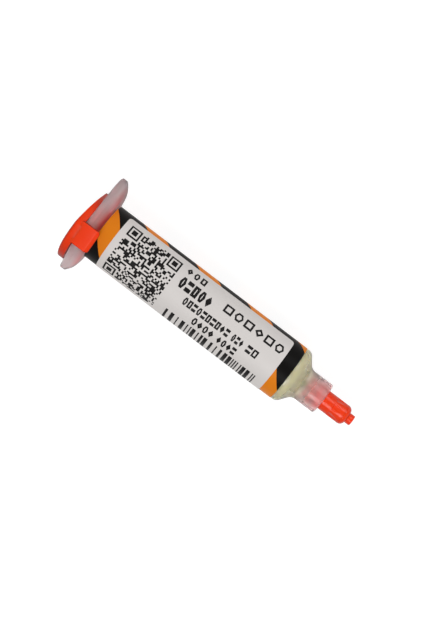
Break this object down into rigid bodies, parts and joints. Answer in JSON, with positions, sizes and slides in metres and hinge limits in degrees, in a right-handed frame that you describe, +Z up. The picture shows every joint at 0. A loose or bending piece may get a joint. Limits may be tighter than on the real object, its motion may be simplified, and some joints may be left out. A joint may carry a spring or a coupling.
{
  "type": "flux syringe",
  "caption": "Filled dispensing syringe of soldering flux: finger flange, luer lock nose, piston, clip-on end cap, screw-on tip cap and a striped wrap label.",
  "frame": {"origin": "On the surface that the syringe lies on, under the middle of its overall box.", "axes": "+X runs along the syringe from the end cap to the tip cap, +Y along the finger flange, +Z up. At rest the barrel leans about 3 degrees nose down, from the lower clip to the front edge of the label."},
  "size_m": [0.103, 0.0346, 0.0266],
  "materials": {
    "barrel_plastic": "natural translucent polypropylene, satin",
    "piston_plastic": "white polyethylene, satin",
    "flux": "pale amber paste, soft and slightly glossy",
    "red_plastic": "moulded red polyethylene, satin",
    "label_film": "printed film with orange and black diagonal stripes, satin",
    "sticker_paper": "coated label paper, faintly glossy"
  },
  "bodies": {
    "root": {"barrel": "barrel_plastic", "wrap_label": "label_film", "code_sticker": "sticker_paper", "flux_paste": "flux"},
    "piston_body": {"piston": "piston_plastic"},
    "end_cap_body": {"end_cap": "red_plastic"},
    "tip_cap_body": {"tip_cap": "red_plastic"}
  },
  "joints": [
    {"name": "piston_push", "type": "slide", "parent": "root", "child": "piston_body", "axis": [0.9986, 0, -0.0532], "range_m": [0, 0.0538], "deforming": ["flux_paste"]},
    {"name": "end_cap_pull", "type": "slide", "parent": "root", "child": "end_cap_body", "axis": [-0.9986, 0, 0.0532], "range_m": [0, 0.015]},
    {"name": "tip_cap_pull", "type": "slide", "parent": "root", "child": "tip_cap_body", "axis": [0.9986, 0, -0.0532], "range_m": [0, 0.02]}
  ]
}
